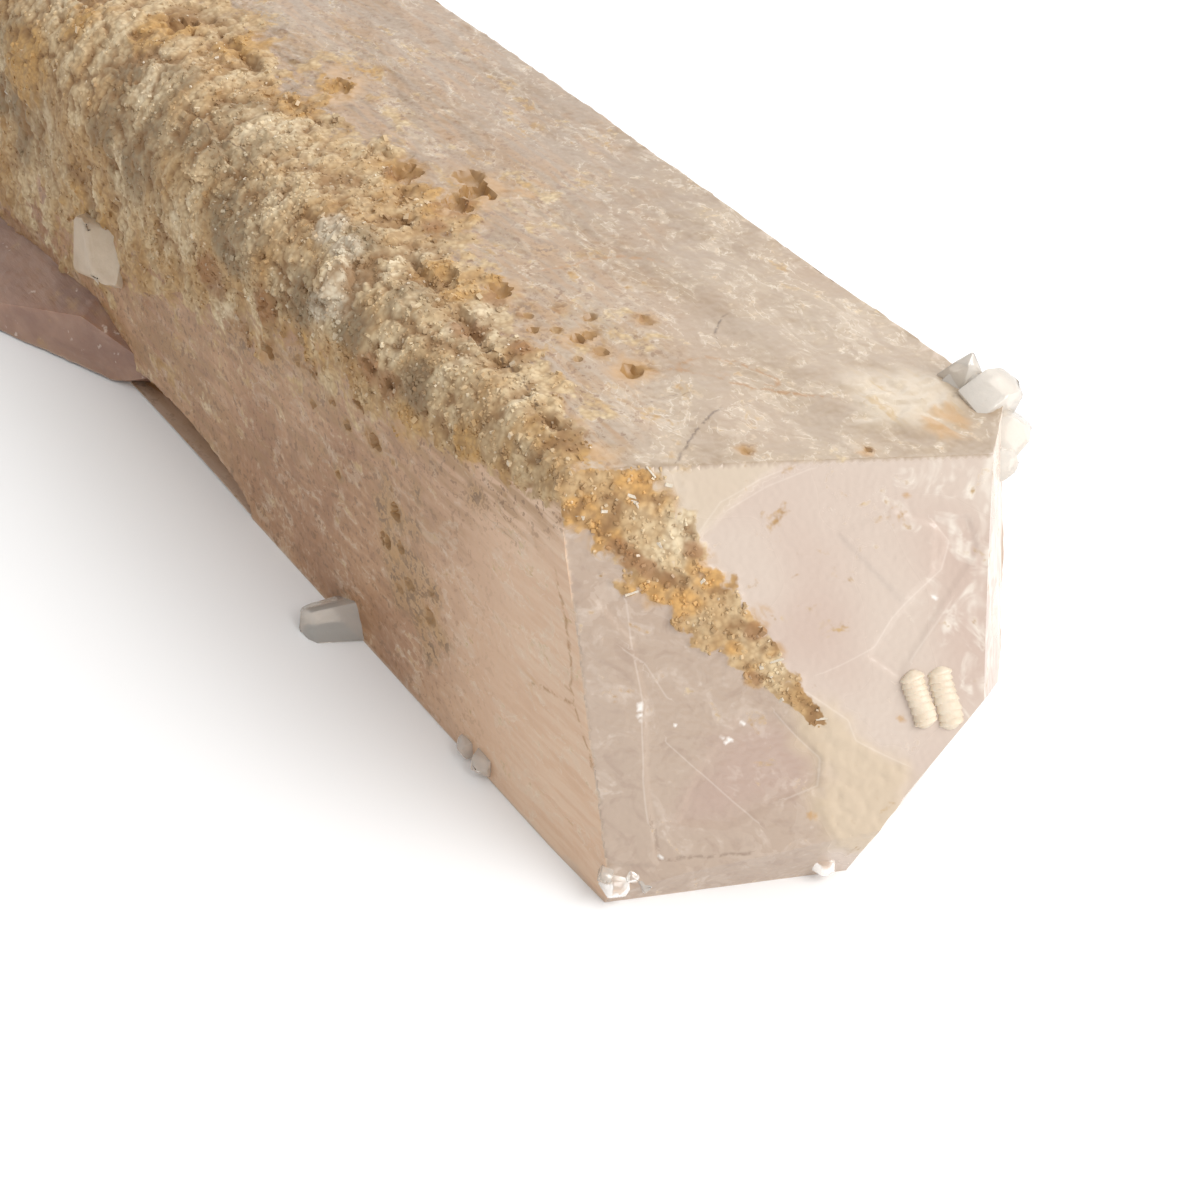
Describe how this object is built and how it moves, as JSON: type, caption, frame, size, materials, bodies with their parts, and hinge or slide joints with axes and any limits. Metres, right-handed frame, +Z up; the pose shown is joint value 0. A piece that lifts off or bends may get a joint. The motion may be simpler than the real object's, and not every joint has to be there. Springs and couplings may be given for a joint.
{
  "type": "danburite",
  "caption": "Large rough danburite: a rhombic prism with a chisel-shaped termination, etched and crusted along one ridge, with small clear crystals grown on its edges.",
  "frame": {"origin": "under the middle of the crystal's box, on the surface it lies on", "axes": "+X along the crystal's length, towards its termination; +Z up, out of the prism face it lies on; +Y across, towards the clean right side"},
  "size_m": [0.1034, 0.034, 0.0259],
  "materials": {
    "danburite": "satin, etched, faintly pink translucent crystal with an ochre and grey crust"
  },
  "bodies": {
    "root": {"danburite_crystal": "danburite"}
  },
  "joints": []
}
